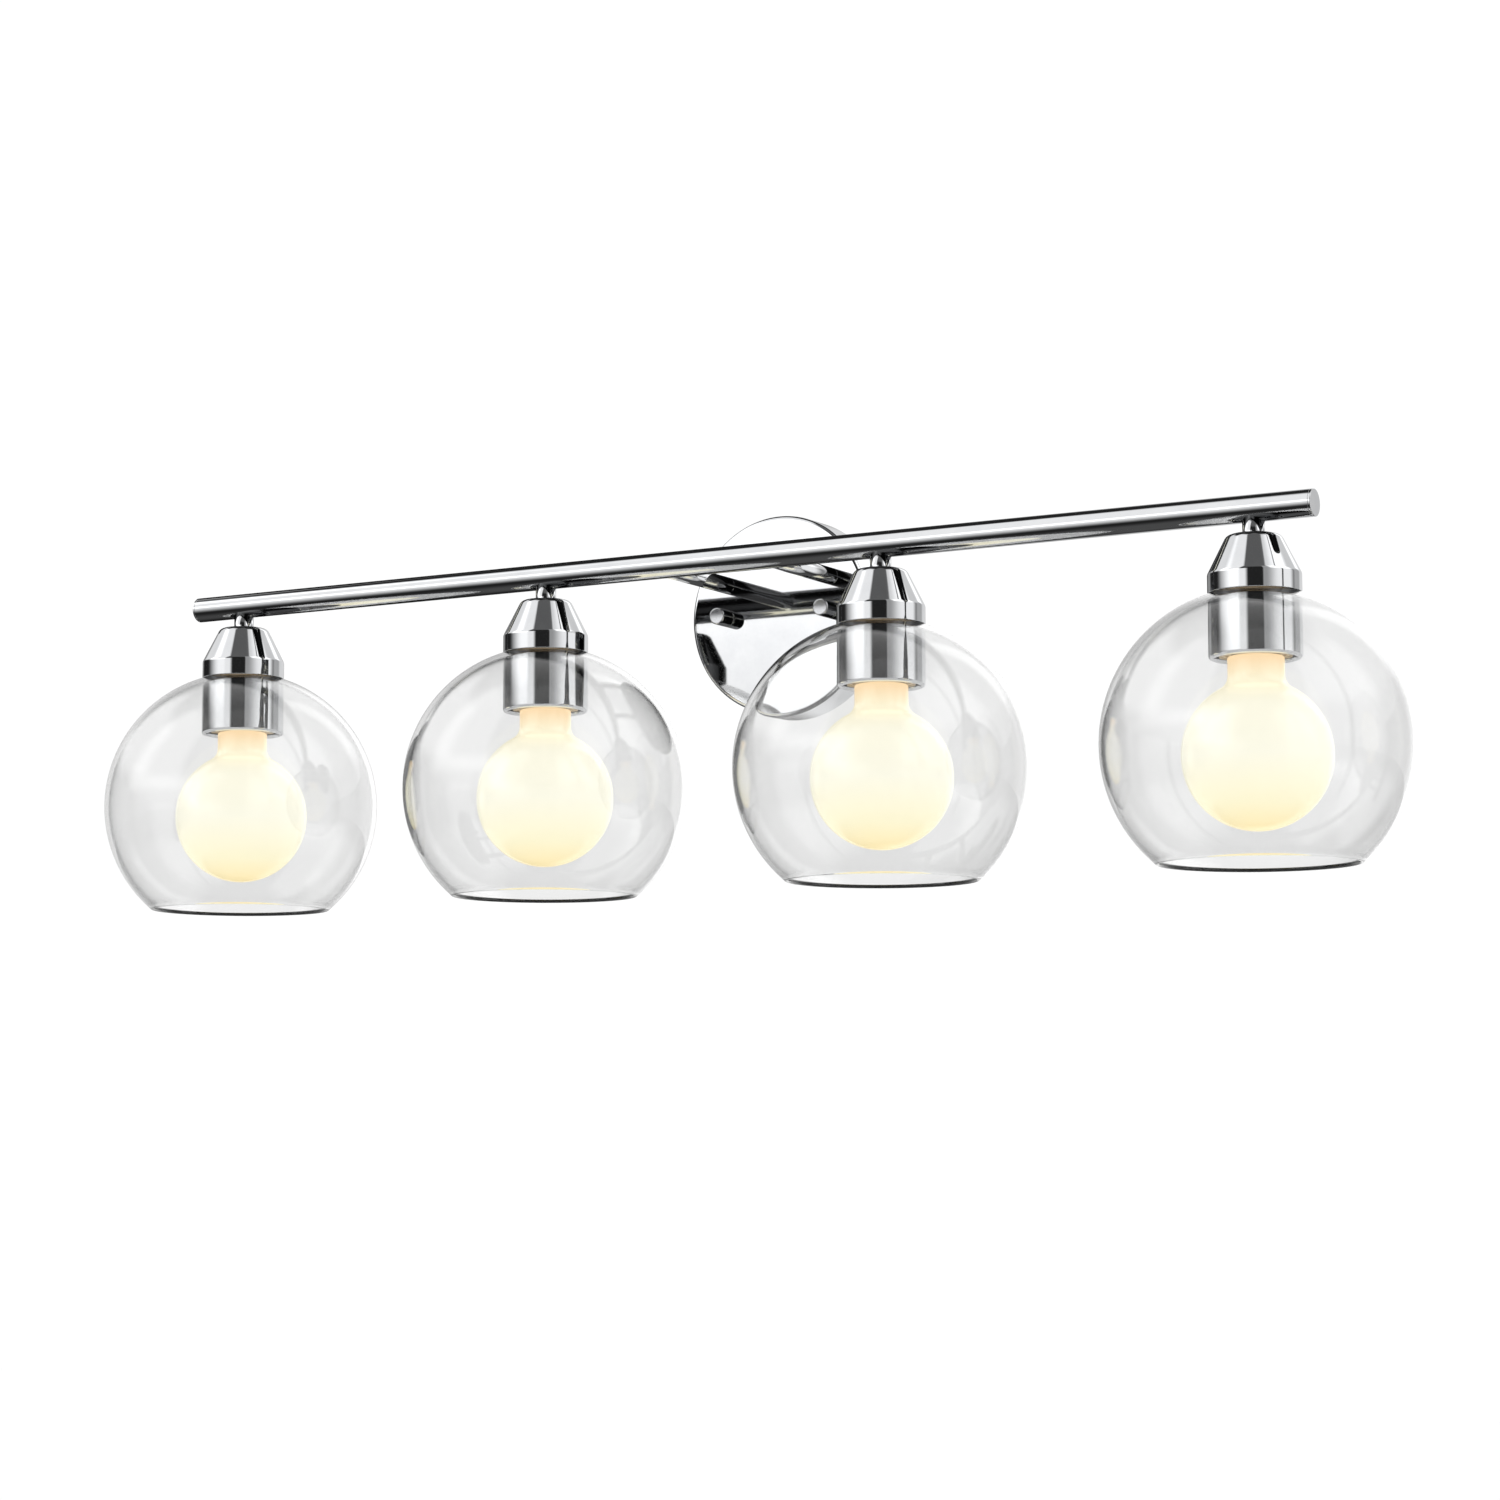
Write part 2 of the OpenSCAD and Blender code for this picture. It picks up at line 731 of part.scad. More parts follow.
// A tube of six sides along a path
module wire(path, r) {
    sides = 6;
    reference = unit([1, 2, 3]);
    last = len(path) - 1;
    points = [for (i = [0:last])
        let (t = heading(path, i), u = unit(cross(t, reference)), v = cross(t, u))
        for (k = [0:sides - 1])
            path[i] + r * (cos(k * 360 / sides) * u + sin(k * 360 / sides) * v)];
    walls = [for (i = [0:last - 1]) for (k = [0:sides - 1])
        let (a = i * sides + k, b = i * sides + (k + 1) % sides)
        [a, b, b + sides, a + sides]];
    ends = [[for (k = [sides - 1:-1:0]) k], [for (k = [0:sides - 1]) last * sides + k]];
    polyhedron(points, concat(walls, ends));
}

// A lead from a lampholder's terminal up its stem, along the bar and an arm to its wire nut.
// across is the lane's side in the bar, and up is its height there.
function lead(n, start, across, up, plane, nut_x) =
    let (side = sign(light_x(n)), x = light_x(n), arm_lane = side * (arm_x + across))
    let (y = -bar_out + across, z = bar_up + up, drop_x = nut_x + side * lane)
    let (y_nut = -plane - up)
    concat([for (p = start) [x + p[0], -bar_out + p[1], bar_up + p[2]]],
        [[x, y, z], [arm_lane, y, z], [arm_lane, y_nut, z], [drop_x, y_nut, z],
         [drop_x, y_nut, wire_nut_top - wire_nut_mouth_l]]);

function lane_up(n) = (n == 1 || n == 4) ? lane : -lane;

module hot_wires() {
    color("black")
        for (n = LIGHTS)
            wire(route(lead(n, [[0, -lane, rivet_top]], -lane, lane_up(n),
                hot_plane, -wire_nut_x), wire_bend, wire_bend_steps), wire_r);
}

module neutral_wires() {
    start = [[0, tab_y - wire_r, chamber_floor + tab_up / 2], [0, lane, chamber_top - 3]];
    color("white")
        for (n = LIGHTS)
            wire(route(lead(n, start, lane, lane_up(n), neutral_plane, wire_nut_x),
                wire_bend, wire_bend_steps), wire_r);
}

module wire_nuts() {
    colours = ["orange", "gold"];
    for (k = [0, 1]) {
        x = (k * 2 - 1) * wire_nut_x;
        plane = k == 0 ? hot_plane : neutral_plane;
        color(colours[k])
            translate([x, -plane, wire_nut_top - wire_nut_l])
                difference() {
                    cylinder(r1 = wire_nut_r - wire_nut_taper, r2 = wire_nut_r, h = wire_nut_l);
                    translate([0, 0, wire_nut_l - wire_nut_mouth_l])
                        cylinder(r = 2 * lane + wire_r + 0.1, h = wire_nut_mouth_l + cut);
                }
    }
}

// From the ground screw's head to the side of the left arm's lock nut
module ground_wire() {
    nut_side = -arm_x + nut_corner_r + wire_r;
    lug_y = -face_in + nut_h / 2;
    screw_front = strap_t + ground_head_h + wire_r;
    points = [[ground_screw_x, -screw_front, -2], [ground_screw_x, -screw_front - 1, 9],
        [nut_side, lug_y, bar_up - 8], [nut_side, lug_y, bar_up + 3]];
    color("green")
        wire(route(points, 3, 4), wire_r);
}

canopy();
mounting_strap();
mounting_studs();
stud_nuts();
ground_screw();
ground_wire();
wire_nuts();
hot_wires();
neutral_wires();
bar();
bar_end_plugs();
arm(-1);  // arm_left
arm(1);  // arm_right
arm_nipples();
stem_nipples();
lock_nuts();
knob(-1);  // knob_left
knob(1);  // knob_right
knob_washer(-1);  // knob_washer_left
knob_washer(1);  // knob_washer_right
for (n = LIGHTS) {
    stem(n);
    cup(n);
    lampholder(n);
    screw_shell(n);
    centre_contact(n);
    glass_shade(n);
    shade_ring(n);
    bulb_tip(n);
    bulb_cap(n);
    bulb_glass(n);
}
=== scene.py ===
import math

import bmesh
import bpy
from mathutils import Matrix, Vector


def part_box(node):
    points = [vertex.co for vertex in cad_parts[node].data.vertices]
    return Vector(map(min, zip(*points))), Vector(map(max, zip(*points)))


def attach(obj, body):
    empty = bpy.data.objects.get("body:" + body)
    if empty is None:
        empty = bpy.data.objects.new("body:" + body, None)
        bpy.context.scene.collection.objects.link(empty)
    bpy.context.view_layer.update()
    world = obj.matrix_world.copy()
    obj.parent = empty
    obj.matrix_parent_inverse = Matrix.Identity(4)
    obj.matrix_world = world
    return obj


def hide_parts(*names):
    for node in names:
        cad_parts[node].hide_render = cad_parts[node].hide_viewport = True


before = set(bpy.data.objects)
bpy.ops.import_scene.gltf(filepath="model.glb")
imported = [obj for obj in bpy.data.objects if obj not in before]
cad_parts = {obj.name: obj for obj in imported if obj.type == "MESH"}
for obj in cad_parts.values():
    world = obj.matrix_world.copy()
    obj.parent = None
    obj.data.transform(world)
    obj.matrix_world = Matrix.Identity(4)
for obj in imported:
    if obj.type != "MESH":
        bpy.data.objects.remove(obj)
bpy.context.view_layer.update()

MM = 0.001
LIGHTS = (1, 2, 3, 4)
SIDES = ("left", "right")


# ---------------------------------------------------------------- places from the CAD model

def low(node):
    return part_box(node)[0]


def high(node):
    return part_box(node)[1]


def middle(node):
    return (low(node) + high(node)) / 2


def across(node, axis):
    """Half the size of a node along axis 0, 1 or 2."""
    return (high(node)[axis] - low(node)[axis]) / 2


BAR_AXIS = middle("bar")
BAR_R = across("bar", 2)
CANOPY_DEPTH = -low("canopy").y


def light_point(n):
    """Where light n's own axis meets the bar's axis."""
    return Vector((middle(f"cup_{n}").x, BAR_AXIS.y, BAR_AXIS.z))


def below_bar(node):
    """(top, bottom) of a node as heights from the bar's axis."""
    return high(node).z - BAR_AXIS.z, low(node).z - BAR_AXIS.z


# ---------------------------------------------------------------- mesh building

EASE = 0.12 * MM            # how far from its ends a straight stretch gets its extra points
EASE_FROM = 1.2 * MM        # a stretch shorter than this gets none
ON_AXIS = 1e-7              # a smaller radius is a point on the axis
SAME_RADIUS = 1e-6


def rounded(corners, per_turn=32):
    """A line through corners (radius, height, rounding), each rounding cut as an arc. Close to
    both ends of a straight stretch there is one more point, so that flat faces shade flat."""
    line = []
    count = len(corners)
    for i, corner in enumerate(corners):
        here = Vector(corner[:2])
        r = corner[2] if len(corner) > 2 else 0
        if r <= 0 or i in (0, count - 1) and corners[0][0] == 0:
            line.append(here)
            continue
        a = (Vector(corners[i - 1][:2]) - here).normalized()
        b = (Vector(corners[(i + 1) % count][:2]) - here).normalized()
        half = math.acos(max(-1, min(1, a.dot(b)))) / 2
        centre = here + (a + b).normalized() * (r / math.sin(half))
        start, end = here + a * (r / math.tan(half)), here + b * (r / math.tan(half))
        steps = max(3, round(per_turn * (math.pi - 2 * half) / (2 * math.pi)))
        u, v = start - centre, end - centre
        sweep = u.angle_signed(v) * -1
        for k in range(steps + 1):
            line.append(centre + Matrix.Rotation(sweep * k / steps, 2) @ u)
    eased = []
    for i, p in enumerate(line):
        eased.append(p)
        q = line[(i + 1) % len(line)]
        run = (q - p).length
        if run > EASE_FROM and (i + 1 < len(line) or corners[0][0] != 0):
            eased += [p.lerp(q, EASE / run), p.lerp(q, 1 - EASE / run)]
    return [(max(p.x, 0), p.y) for p in eased]


def arc(centre_h, r, start, end, steps):
    """Points (radius, height) of a circle round (0, centre_h), by angles from straight up."""
    return [(r * math.sin(t), centre_h + r * math.cos(t))
            for t in (start + (end - start) * k / steps for k in range(steps + 1))]


def lathe(name, line, steps=96, relief=None, angle=30):
    """A closed solid turned round Z. line is (radius, height) points round the section, which
    starts and ends on the axis, or else closes on itself. relief(angle, radius, height) adds
    to a point's radius, for threads and flutes."""
    mesh = bpy.data.meshes.new(name)
    bm = bmesh.new()
    rings = []
    for r, h in line:
        if r < ON_AXIS:
            rings.append([bm.verts.new((0, 0, h))])
            continue
        ring = []
        for k in range(steps):
            t = 2 * math.pi * k / steps
            rr = r + (relief(t, r, h) if relief else 0)
            ring.append(bm.verts.new((rr * math.cos(t), rr * math.sin(t), h)))
        rings.append(ring)
    closed = line[0][0] >= ON_AXIS
    for i in range(len(rings) if closed else len(rings) - 1):
        a, b = rings[i], rings[(i + 1) % len(rings)]
        for k in range(steps):
            j = (k + 1) % steps
            if len(a) == 1 and len(b) == 1:
                continue
            if len(a) == 1:
                bm.faces.new((a[0], b[j], b[k]))
            elif len(b) == 1:
                bm.faces.new((a[k], a[j], b[0]))
            else:
                bm.faces.new((a[k], a[j], b[j], b[k]))
    bmesh.ops.recalc_face_normals(bm, faces=bm.faces)
    for f in bm.faces:
        f.smooth = True
    bm.to_mesh(mesh)
    bm.free()
    mesh.set_sharp_from_angle(angle=math.radians(angle))
    return mesh


def place(name, mesh, at, material, body, node, turn=None):
    """Puts a mesh in the scene as the piece that stands for a CAD node. turn takes its +Z to
    another direction."""
    obj = bpy.data.objects.new(name, mesh)
    bpy.context.scene.collection.objects.link(obj)
    obj.matrix_world = Matrix.Translation(at) @ (turn or Matrix.Identity(4))
    if not mesh.materials:
        mesh.materials.append(material)
    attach(obj, body)
    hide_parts(node)
    return obj


TO_FRONT = Matrix.Rotation(math.radians(90), 4, "X")      # +Z becomes -Y, away from the wall
TO_RIGHT = Matrix.Rotation(math.radians(90), 4, "Y")      # +Z becomes +X


def thread(pitch, depth, bottom, top, hand=1, run_out=1.5 * MM):
    """Relief of a rounded screw thread between two heights, fading out at both ends."""
    def relief(t, r, h):
        if not bottom < h < top:
            return 0
        fade = min(1, (h - bottom) / run_out, (top - h) / run_out)
        wave = math.cos(2 * math.pi * (h / pitch - hand * t / (2 * math.pi)))
        return depth * fade * (math.tanh(1.6 * wave) / math.tanh(1.6) - 1) / 2
    return relief


def only_at(radius, relief):
    """A relief kept to the points of one radius."""
    return lambda t, r, h: relief(t, r, h) if abs(r - radius) < SAME_RADIUS else 0


def threaded_line(r, top, bottom, pitch, rows=10):
    """Even rows down a threaded cylinder."""
    count = max(2, round((top - bottom) / pitch * rows))
    return [(r, top + (bottom - top) * k / count) for k in range(count + 1)]


# ---------------------------------------------------------------- materials

BULB_LIGHT = 0.99
# Strength of the warm glow painted on the porcelain for the bulb's light.
PAINTED_BULB_GLOW = 0.18


def material(name):
    m = bpy.data.materials.new(name)
    m.use_nodes = True
    return m, m.node_tree.nodes, m.node_tree.links, m.node_tree.nodes["Principled BSDF"]


def noise(nodes, links, scale, detail=4, rough=0.6, stretch=None):
    """Object-space noise, so it stays with the piece. scale is per metre."""
    coord = nodes.new("ShaderNodeTexCoord")
    tex = nodes.new("ShaderNodeTexNoise")
    tex.inputs["Scale"].default_value = scale
    tex.inputs["Detail"].default_value = detail
    tex.inputs["Roughness"].default_value = rough
    if stretch:
        mapping = nodes.new("ShaderNodeMapping")
        mapping.inputs["Scale"].default_value = stretch
        links.new(coord.outputs["Object"], mapping.inputs["Vector"])
        links.new(mapping.outputs["Vector"], tex.inputs["Vector"])
    else:
        links.new(coord.outputs["Object"], tex.inputs["Vector"])
    return tex.outputs["Fac"]


def ramp(nodes, links, source, stops):
    """Colours along a value. stops are (position, colour)."""
    node = nodes.new("ShaderNodeValToRGB")
    elements = node.color_ramp.elements
    while len(elements) < len(stops):
        elements.new(0.5)
    for element, (position, colour) in zip(elements, stops):
        element.position = position
        element.color = (*colour, 1)
    links.new(source, node.inputs["Fac"])
    return node.outputs["Color"]


def two_tone(nodes, links, source, dark, bright):
    return ramp(nodes, links, source, [(0.3, dark), (0.7, bright)])


def vary(nodes, links, source, lowest, highest, start=0.3, end=0.7):
    """A value between two others that follows a noise."""
    node = nodes.new("ShaderNodeMapRange")
    node.inputs["From Min"].default_value = start
    node.inputs["From Max"].default_value = end
    node.inputs["To Min"].default_value = lowest
    node.inputs["To Max"].default_value = highest
    links.new(source, node.inputs["Value"])
    return node.outputs["Result"]


def calculate(nodes, links, operation, *values):
    """A Math node with numbers and sockets for its inputs."""
    node = nodes.new("ShaderNodeMath")
    node.operation = operation
    for socket, value in zip(node.inputs, values):
        if isinstance(value, (int, float)):
            socket.default_value = value
        else:
            links.new(value, socket)
    return node.outputs["Value"]


def with_some(nodes, links, base, source, share):
    """A value with a share of another one added."""
    return calculate(nodes, links, "MULTIPLY_ADD", source, share, base)


def own_height(nodes, links):
    """The height of a point in its piece's own space."""
    coord = nodes.new("ShaderNodeTexCoord")
    parts = nodes.new("ShaderNodeSeparateXYZ")
    links.new(coord.outputs["Object"], parts.inputs["Vector"])
    return parts.outputs["Z"]


def bump(nodes, links, shader, source, strength, distance):
    node = nodes.new("ShaderNodeBump")
    node.inputs["Strength"].default_value = strength
    node.inputs["Distance"].default_value = distance
    links.new(source, node.inputs["Height"])
    links.new(node.outputs["Normal"], shader.inputs["Normal"])


def chrome(name="chrome", smooth=0.03, dull=0.055,
           dark=(0.80, 0.81, 0.83), bright=(0.90, 0.91, 0.92)):
    """Plated steel: a mirror with faint haze patches, fine polishing lines and orange peel."""
    m, nodes, links, shader = material(name)
    shader.inputs["Metallic"].default_value = 1
    haze = noise(nodes, links, 38, 6, 0.65)
    links.new(two_tone(nodes, links, haze, dark, bright), shader.inputs["Base Color"])
    both = with_some(nodes, links, haze, noise(nodes, links, 900, 3, 0.5), 0.35)
    links.new(vary(nodes, links, both, smooth, dull, 0.45, 0.95), shader.inputs["Roughness"])
    bump(nodes, links, shader, noise(nodes, links, 160, 2, 0.4), 0.02, 0.05 * MM)
    return m


def glass():
    """Blown clear glass, slightly grey, with very faint waves."""
    m, nodes, links, shader = material("clear_glass")
    shader.inputs["Transmission Weight"].default_value = 1
    shader.inputs["IOR"].default_value = 1.5
    body = noise(nodes, links, 14, 3, 0.5)
    links.new(two_tone(nodes, links, body, (0.882, 0.883, 0.882), (0.908, 0.909, 0.908)),
              shader.inputs["Base Color"])
    links.new(vary(nodes, links, body, 0.0, 0.003), shader.inputs["Roughness"])
    bump(nodes, links, shader, noise(nodes, links, 22, 1, 0.3), 0.05, 0.4 * MM)
    return m


def opal(name, top, bottom):
    """Lit opal glass: peach at the neck, ivory over the globe and a little deeper at the foot.
    Heights are in the bulb's own space."""
    m, nodes, links, shader = material(name)
    height = vary(nodes, links, own_height(nodes, links), 0, 1, bottom, top)
    cloud = noise(nodes, links, 60, 2, 0.5)
    glow = ramp(nodes, links, with_some(nodes, links, height, cloud, 0.02), [
        (0.0, (1.0, 0.80, 0.36)), (0.15, (1.0, 0.93, 0.62)), (0.42, (1.0, 0.98, 0.82)),
        (0.70, (1.0, 0.97, 0.79)), (0.86, (1.0, 0.92, 0.66)), (0.98, (1.0, 0.72, 0.40))])
    links.new(glow, shader.inputs["Emission Color"])
    shader.inputs["Emission Strength"].default_value = BULB_LIGHT
    shader.inputs["Base Color"].default_value = (0.25, 0.24, 0.20, 1)
    links.new(vary(nodes, links, cloud, 0.16, 0.24), shader.inputs["Roughness"])
    shader.inputs["Coat Weight"].default_value = 0.3
    return m


def pressed_metal(name, dark, bright, smooth=0.18, dull=0.38, grain=420):
    """Plain formed metal with rolling grain and dull patches."""
    m, nodes, links, shader = material(name)
    shader.inputs["Metallic"].default_value = 1
    patches = noise(nodes, links, 90, 6, 0.65)
    links.new(two_tone(nodes, links, patches, dark, bright), shader.inputs["Base Color"])
    lines = noise(nodes, links, grain, 4, 0.6, (1, 1, 6))
    links.new(vary(nodes, links, lines, smooth, dull), shader.inputs["Roughness"])
    bump(nodes, links, shader, lines, 0.12, 0.04 * MM)
    return m


def porcelain():
    """Unglazed cream porcelain with specks and a fine sandy surface, with a faint warm emission:
    painted light standing in for the bulb's light falling on it.
    """
    m, nodes, links, shader = material("porcelain")
    specks = noise(nodes, links, 1500, 2, 0.7)
    cloud = noise(nodes, links, 70, 4, 0.5)
    tint = ramp(nodes, links, with_some(nodes, links, cloud, specks, 0.5), [
        (0.45, (0.70, 0.63, 0.50)), (0.62, (0.86, 0.81, 0.70)), (0.9, (0.90, 0.86, 0.77))])
    links.new(tint, shader.inputs["Base Color"])
    links.new(vary(nodes, links, cloud, 0.42, 0.6), shader.inputs["Roughness"])
    bump(nodes, links, shader, specks, 0.15, 0.03 * MM)
    # Painted light: a faint warm emission that stands in for the bulb's light on the porcelain,
    # which is no lamp.
    shader.inputs["Emission Color"].default_value = (1.0, 0.72, 0.42, 1)
    shader.inputs["Emission Strength"].default_value = PAINTED_BULB_GLOW
    return m


def plastic(name, dark, bright, smooth=0.28, dull=0.45, grain=900):
    """Moulded plastic or wire insulation with a faint grain."""
    m, nodes, links, shader = material(name)
    patches = noise(nodes, links, 120, 3, 0.5)
    links.new(two_tone(nodes, links, patches, dark, bright), shader.inputs["Base Color"])
    fine = noise(nodes, links, grain, 3, 0.6)
    links.new(vary(nodes, links, fine, smooth, dull), shader.inputs["Roughness"])
    bump(nodes, links, shader, fine, 0.1, 0.03 * MM)
    return m


CHROME = chrome()
KNOB_CHROME = chrome("knob_chrome", 0.09, 0.16, (0.66, 0.67, 0.69), (0.76, 0.77, 0.79))
GLASS = glass()
NICKEL = pressed_metal("nickel_cap", (0.55, 0.52, 0.47), (0.76, 0.73, 0.68), 0.16, 0.34)
BRASS = pressed_metal("brass", (0.58, 0.41, 0.17), (0.83, 0.64, 0.32), 0.18, 0.36)
ZINC = pressed_metal("zinc_steel", (0.50, 0.51, 0.52), (0.76, 0.77, 0.76), 0.22, 0.45, 260)
GREEN_SCREW = pressed_metal("green_screw", (0.03, 0.20, 0.08), (0.10, 0.42, 0.20), 0.25, 0.45)
PORCELAIN = porcelain()
NYLON = plastic("washer", (0.78, 0.78, 0.75), (0.92, 0.92, 0.90))
BLACK_WIRE = plastic("black_wire", (0.012, 0.012, 0.012), (0.045, 0.045, 0.045))
WHITE_WIRE = plastic("white_wire", (0.74, 0.74, 0.71), (0.90, 0.90, 0.88))
GREEN_WIRE = plastic("green_wire", (0.03, 0.22, 0.08), (0.09, 0.42, 0.17))
ORANGE_NUT = plastic("wire_nut_orange", (0.62, 0.20, 0.03), (0.90, 0.36, 0.06), 0.35, 0.55)
YELLOW_NUT = plastic("wire_nut_yellow", (0.70, 0.48, 0.03), (0.95, 0.70, 0.08), 0.35, 0.55)


# ---------------------------------------------------------------- bar, arms and canopy

PLUG_HEAD = 1.4 * MM
PLUG_EDGE = 0.35 * MM
PLUG_SHANK = 6 * MM
SEAM = 0.18 * MM            # rounding on both sides of the seam round a plug
BAR_BORE = BAR_R - 1.2 * MM
ARM_R = across("arm_left", 0)
NIPPLE_R = 4 * MM
SADDLE_REACH = 2 * MM
SHEET = 1 * MM
CANOPY_EDGE = 2.5 * MM
CANOPY_RIM = 0.3 * MM


def bar():
    half = across("bar", 0)
    line = rounded([(BAR_R, -half, SEAM), (BAR_R, half, SEAM), (BAR_BORE, half),
                    (BAR_BORE, -half)])
    place("bar_tube", lathe("bar_tube", line, 128), middle("bar"), CHROME, "root", "bar",
          TO_RIGHT)


def bar_plug(name, x, turn):
    """A plug's head, eased at its rim, with the shank that is pressed into the tube."""
    line = rounded([(0, PLUG_HEAD), (BAR_R, PLUG_HEAD, PLUG_EDGE), (BAR_R, 0, SEAM),
                    (BAR_BORE, 0), (BAR_BORE, -PLUG_SHANK), (0, -PLUG_SHANK)])
    at = Vector((x, BAR_AXIS.y, BAR_AXIS.z))
    place(name, lathe(name, line, 128), at, CHROME, "root", "bar_end_plugs", turn)


def saddle(mesh, bar_at):
    """Drops the end of a tube onto the bar. bar_at is the bar axis's height in the mesh's space,
    the tube comes from below it, and the bar lies along the mesh's X."""
    for v in mesh.vertices:
        if abs(v.co.z - bar_at) < SADDLE_REACH:
            v.co.z = bar_at - math.sqrt(max(BAR_R ** 2 - v.co.y ** 2, 0))
    mesh.update()


def arm(side):
    node = f"arm_{side}"
    x = middle(node).x
    length = -BAR_AXIS.y - CANOPY_DEPTH
    line = rounded([(ARM_R, 0, 0.3 * MM), (ARM_R, length), (NIPPLE_R, length), (NIPPLE_R, 0)])
    mesh = lathe(node + "_tube", line, 96)
    saddle(mesh, length)
    place(node + "_tube", mesh, Vector((x, -CANOPY_DEPTH, BAR_AXIS.z)), CHROME, "root", node,
          TO_FRONT)


def canopy():
    r = across("canopy", 0)
    inner_r, inner_depth = r - SHEET, CANOPY_DEPTH - SHEET
    line = rounded([(0, CANOPY_DEPTH), (r, CANOPY_DEPTH, CANOPY_EDGE), (r, 0, CANOPY_RIM),
                    (inner_r, 0, CANOPY_RIM), (inner_r, inner_depth, CANOPY_EDGE - SHEET),
                    (0, inner_depth)], 64)
    place("canopy_dish", lathe("canopy_dish", line, 192), Vector((0, 0, 0)), CHROME, "root",
          "canopy", TO_FRONT)


# ---------------------------------------------------------------- knobs and fixings

WELD = 0.001 * MM
STUD_R = 2 * MM
STUD_PITCH = 0.794 * MM
STUD_THREAD = 0.38 * MM
STUD_TIP = 0.4 * MM
KNOB_BORE = STUD_R + 0.08 * MM
KNOB_TOP = 1.8 * MM         # thickness of the knob's closed end
KNOB_EDGE = 0.8 * MM
WASHER_BORE = STUD_R + 0.3 * MM
WASHER_EDGE = 0.1 * MM
NUT_R = 6.5 * MM


def knob(side):
    node = f"knob_{side}"
    r, length = across(node, 0), 2 * across(node, 1)
    bore_l = length - KNOB_TOP
    line = rounded([(0, length), (r, length, KNOB_EDGE), (r, 0, 0.25 * MM), (KNOB_BORE, 0),
                    (KNOB_BORE, bore_l), (0, bore_l)])
    at = Vector((middle(node).x, high(node).y, middle(node).z))
    place(f"{node}_cap", lathe(f"{node}_cap", line, 72), at, KNOB_CHROME, f"{side}_knob", node,
          TO_FRONT)


def knob_washer(side):
    node = f"knob_washer_{side}"
    r, t = across(node, 0), 2 * across(node, 1)
    line = rounded([(r, 0, WASHER_EDGE), (r, t, WASHER_EDGE), (WASHER_BORE, t), (WASHER_BORE, 0)])
    at = Vector((middle(node).x, high(node).y, middle(node).z))
    place(f"{node}_disc", lathe(f"{node}_disc", line, 64), at, NYLON, f"{side}_knob_seat", node,
          TO_FRONT)


def stud(side):
    end = -low("mounting_studs").y
    x = middle(f"knob_{side}").x
    line = [(0, 0), (STUD_R, 0),
            *threaded_line(STUD_R, 0.2 * MM, end - STUD_TIP, STUD_PITCH, 8),
            (STUD_R - STUD_TIP, end), (0, end)]
    relief = thread(STUD_PITCH, STUD_THREAD, 0.1 * MM, end - STUD_TIP / 2, 1, 0.8 * MM)
    place(f"stud_{side}", lathe(f"stud_{side}", line, 40, relief), Vector((x, 0, 0)), ZINC, "root",
          "mounting_studs", TO_FRONT)


def wire_nut(name, side, colour):
    """A moulded twist-on cap with flutes, a plain skirt and an open mouth."""
    start, end = low("wire_nuts"), high("wire_nuts")
    foot_r, mouth_r, mouth_l, skirt = NUT_R - 2 * MM, 3.4 * MM, 6 * MM, 5 * MM
    edge, rows = 0.3 * MM, 24
    length = end.z - start.z
    flute_start, flute_end = 1 * MM, length - skirt
    flute_depth, flute_count = 0.55 * MM, 10
    line = [(0, 0), (foot_r * 0.8, 0),
            *((foot_r + (NUT_R - foot_r) * k / rows, length * k / rows) for k in range(1, rows)),
            (NUT_R, length - edge), (NUT_R - edge, length), (mouth_r, length),
            (mouth_r, length - mouth_l), (0, length - mouth_l)]

    def flutes(t, r, h):
        if r < foot_r or not flute_start < h < flute_end:
            return 0
        fade = min(1, (h - flute_start) / (2 * MM), (flute_end - h) / (1.5 * MM))
        return -flute_depth * fade * (0.5 + 0.5 * math.cos(flute_count * t)) ** 1.5

    x = (start.x + NUT_R) if side < 0 else (end.x - NUT_R)
    y = (start.y + NUT_R) if side < 0 else (end.y - NUT_R)
    place(name, lathe(name, line, 80, flutes), Vector((x, y, start.z)), colour, "root",
          "wire_nuts")


def finish_node(node, mat, bevel=0.0, round_off=0):
    """Gives a CAD node its material, and eased edges or a rounder section."""
    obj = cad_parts[node]
    obj.data.materials.clear()
    obj.data.materials.append(mat)
    weld = obj.modifiers.new("weld", "WELD")
    weld.merge_threshold = WELD
    if bevel:
        ease = obj.modifiers.new("ease", "BEVEL")
        ease.width = bevel
        ease.segments = 2
        ease.limit_method = "ANGLE"
        ease.angle_limit = math.radians(40)
    if round_off:
        smooth = obj.modifiers.new("smooth", "SUBSURF")
        smooth.levels = smooth.render_levels = round_off


# ---------------------------------------------------------------- the parts of one light

STEM_R = across("stem_1", 0)
CUP_R = across("cup_1", 0)
CUP_TOP_R = 14.3 * MM
CUP_CONE = 21.1 * MM
CUP_SKIRT = 10.2 * MM
CUP_WALL = 1.5 * MM
GLOBE_R = across("glass_shade_1", 0)
GLOBE_WALL = 2.6 * MM
GLOBE_SEAT = 0.3 * MM       # between the cup or the ring and the globe
MOUTH_R = 54 * MM
HOLE_R = 20.7 * MM
RIM_R = 1.38 * MM
RING_R = across("shade_ring_1", 0)
RING_BORE = 20 * MM
RING_RIM = 3.8 * MM
RING_PITCH = 3 * MM
BULB_R = across("bulb_glass_1", 0)
NECK_R = 15 * MM
CAP_R = across("bulb_cap_1", 0)
CAP_PITCH = 3.63 * MM
CAP_BORE = CAP_R - 1.35 * MM

CUP_TOP = below_bar("cup_1")[0]
CUP_BOTTOM = CUP_TOP - CUP_CONE - CUP_SKIRT
GLOBE_H = CUP_BOTTOM - GLOBE_SEAT - math.sqrt(GLOBE_R ** 2 - CUP_R ** 2)


